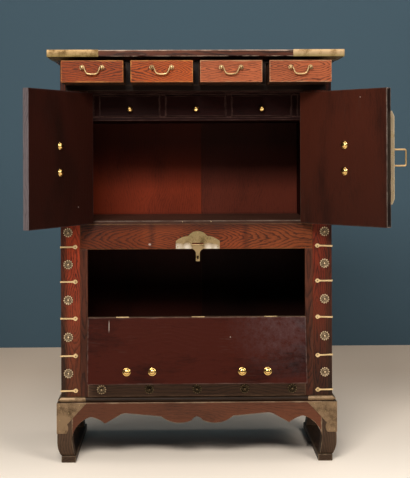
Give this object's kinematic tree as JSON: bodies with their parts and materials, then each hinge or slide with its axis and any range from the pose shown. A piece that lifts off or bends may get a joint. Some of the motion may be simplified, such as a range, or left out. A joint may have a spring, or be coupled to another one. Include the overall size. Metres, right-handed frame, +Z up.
{
  "type": "korean cupboard chest",
  "caption": "Tall wooden chest on a low stand, with small drawers under the top, a cupboard behind two hinged doors and a drop front below, all with brass fittings.",
  "frame": {"origin": "on the floor, under the middle of the case", "axes": "+Z up, front faces -Y, +X to the right of someone facing the front"},
  "size_m": [1.0639, 0.701, 1.2322],
  "materials": {
    "case_wood": "oiled elm, red brown",
    "front_wood": "oiled elm, red brown",
    "inside_wood": "thinly oiled pine, red brown",
    "drawer_wood": "oiled elm, orange brown",
    "door_wood": "dark stained pine",
    "stand_wood": "dark oiled elm",
    "bright_brass": "polished by hands",
    "aged_brass": "dull with age"
  },
  "bodies": {
    "case": {"top_board": "case_wood", "top_corner_caps": "bright_brass", "drawer_frame": "front_wood", "side_panel_left": "case_wood", "side_panel_right": "case_wood", "back_panel": "case_wood", "stile_left": "front_wood", "stile_right": "front_wood", "drawer_deck": "inside_wood", "inner_cabinet": "inside_wood", "middle_rail": "front_wood", "cupboard_floor": "inside_wood", "lower_panel": "front_wood", "bottom_board": "case_wood", "stand_frame": "stand_wood", "stand_brasses": "aged_brass", "aprons": "stand_wood", "legs": "stand_wood", "runners": "stand_wood", "corner_straps": "bright_brass", "rosettes": "aged_brass", "lock_plate": "aged_brass", "case_hinge_leaves": "bright_brass"},
    "top_drawer_1": {"top_drawer_1": "drawer_wood", "top_drawer_posts_1": "bright_brass"},
    "top_drawer_bail_1": {"top_drawer_bail_1": "bright_brass"},
    "top_drawer_2": {"top_drawer_2": "drawer_wood", "top_drawer_posts_2": "bright_brass"},
    "top_drawer_bail_2": {"top_drawer_bail_2": "bright_brass"},
    "top_drawer_3": {"top_drawer_3": "drawer_wood", "top_drawer_posts_3": "bright_brass"},
    "top_drawer_bail_3": {"top_drawer_bail_3": "bright_brass"},
    "top_drawer_4": {"top_drawer_4": "drawer_wood", "top_drawer_posts_4": "bright_brass"},
    "top_drawer_bail_4": {"top_drawer_bail_4": "bright_brass"},
    "inner_drawer_1": {"inner_drawer_1": "inside_wood", "inner_drawer_knob_1": "bright_brass"},
    "inner_drawer_2": {"inner_drawer_2": "inside_wood", "inner_drawer_knob_2": "bright_brass"},
    "inner_drawer_3": {"inner_drawer_3": "inside_wood", "inner_drawer_knob_3": "bright_brass"},
    "left_door": {"left_door": "door_wood", "left_door_hinge_leaves": "bright_brass", "left_door_plate": "aged_brass", "left_door_posts": "bright_brass"},
    "left_lock_bail": {"left_lock_bail": "bright_brass"},
    "left_door_bail": {"left_door_bail": "bright_brass"},
    "right_door": {"right_door": "door_wood", "right_door_hinge_leaves": "bright_brass", "right_door_plate": "aged_brass", "right_door_posts": "bright_brass"},
    "right_lock_bail": {"right_lock_bail": "bright_brass"},
    "right_door_bail": {"right_door_bail": "bright_brass"},
    "drop_front": {"drop_front": "door_wood", "drop_front_hinge_leaves": "bright_brass", "drop_front_posts": "bright_brass", "drop_front_staple": "aged_brass"},
    "drop_front_bail_left": {"drop_front_bail_left": "bright_brass"},
    "drop_front_bail_right": {"drop_front_bail_right": "bright_brass"},
    "hasp": {"hasp": "bright_brass"}
  },
  "joints": [
    {"name": "top_drawer_1_slide", "type": "slide", "parent": "case", "child": "top_drawer_1", "axis": [0, -1, 0], "range_m": [-0.129, 0.1]},
    {"name": "top_drawer_bail_1_swing", "type": "hinge", "parent": "top_drawer_1", "child": "top_drawer_bail_1", "pos_m": [-0.30112, -0.338, 1.172], "axis": [-1, 0, 0], "range_deg": [0, 100]},
    {"name": "top_drawer_2_slide", "type": "slide", "parent": "case", "child": "top_drawer_2", "axis": [0, -1, 0], "range_m": [-0.129, 0.1]},
    {"name": "top_drawer_bail_2_swing", "type": "hinge", "parent": "top_drawer_2", "child": "top_drawer_bail_2", "pos_m": [-0.10038, -0.338, 1.172], "axis": [-1, 0, 0], "range_deg": [0, 100]},
    {"name": "top_drawer_3_slide", "type": "slide", "parent": "case", "child": "top_drawer_3", "axis": [0, -1, 0], "range_m": [-0.129, 0.1]},
    {"name": "top_drawer_bail_3_swing", "type": "hinge", "parent": "top_drawer_3", "child": "top_drawer_bail_3", "pos_m": [0.10038, -0.338, 1.172], "axis": [-1, 0, 0], "range_deg": [0, 100]},
    {"name": "top_drawer_4_slide", "type": "slide", "parent": "case", "child": "top_drawer_4", "axis": [0, -1, 0], "range_m": [-0.129, 0.1]},
    {"name": "top_drawer_bail_4_swing", "type": "hinge", "parent": "top_drawer_4", "child": "top_drawer_bail_4", "pos_m": [0.30112, -0.338, 1.172], "axis": [-1, 0, 0], "range_deg": [0, 100]},
    {"name": "inner_drawer_1_slide", "type": "slide", "parent": "case", "child": "inner_drawer_1", "axis": [0, -1, 0], "range_m": [0, 0.2]},
    {"name": "inner_drawer_2_slide", "type": "slide", "parent": "case", "child": "inner_drawer_2", "axis": [0, -1, 0], "range_m": [0, 0.2]},
    {"name": "inner_drawer_3_slide", "type": "slide", "parent": "case", "child": "inner_drawer_3", "axis": [0, -1, 0], "range_m": [0, 0.2]},
    {"name": "left_door_hinge", "type": "hinge", "parent": "case", "child": "left_door", "pos_m": [-0.3265, -0.204, 0.90975], "axis": [0, 0, -1], "range_deg": [-118.5, 41.5]},
    {"name": "left_lock_bail_swing", "type": "hinge", "parent": "left_door", "child": "left_lock_bail", "pos_m": [-0.46922, -0.46162, 0.90975], "axis": [0, 0, 1], "range_deg": [0, 165]},
    {"name": "left_door_bail_swing", "type": "hinge", "parent": "left_door", "child": "left_door_bail", "pos_m": [-0.41384, -0.35229, 0.90825], "axis": [0, 0, -1], "range_deg": [0, 170]},
    {"name": "right_door_hinge", "type": "hinge", "parent": "case", "child": "right_door", "pos_m": [0.3265, -0.204, 0.90975], "axis": [0, 0, 1], "range_deg": [-131.5, 28.5]},
    {"name": "right_lock_bail_swing", "type": "hinge", "parent": "right_door", "child": "right_lock_bail", "pos_m": [0.53809, -0.43939, 0.90975], "axis": [0, 0, -1], "range_deg": [-131.5, 33.5]},
    {"name": "right_door_bail_swing", "type": "hinge", "parent": "right_door", "child": "right_door_bail", "pos_m": [0.44496, -0.32884, 0.90825], "axis": [0, 0, 1], "range_deg": [0, 170]},
    {"name": "drop_front_hinge", "type": "hinge", "parent": "case", "child": "drop_front", "pos_m": [0, -0.204, 0.433], "axis": [1, 0, 0], "range_deg": [-168, 0]},
    {"name": "drop_front_bail_left_swing", "type": "hinge", "parent": "drop_front", "child": "drop_front_bail_left", "pos_m": [-0.1705, -0.2315, 0.27476], "axis": [-1, 0, 0], "range_deg": [-168, 12]},
    {"name": "drop_front_bail_right_swing", "type": "hinge", "parent": "drop_front", "child": "drop_front_bail_right", "pos_m": [0.1705, -0.2315, 0.27476], "axis": [-1, 0, 0], "range_deg": [-168, 12]},
    {"name": "hasp_swing", "type": "hinge", "parent": "case", "child": "hasp", "pos_m": [0.004, -0.2042, 0.6495], "axis": [1, 0, 0], "range_deg": [-104, 0]}
  ],
  "couplings": [
    {"joint": "hasp_swing", "follows": "drop_front_hinge", "ratio": 0.6}
  ]
}
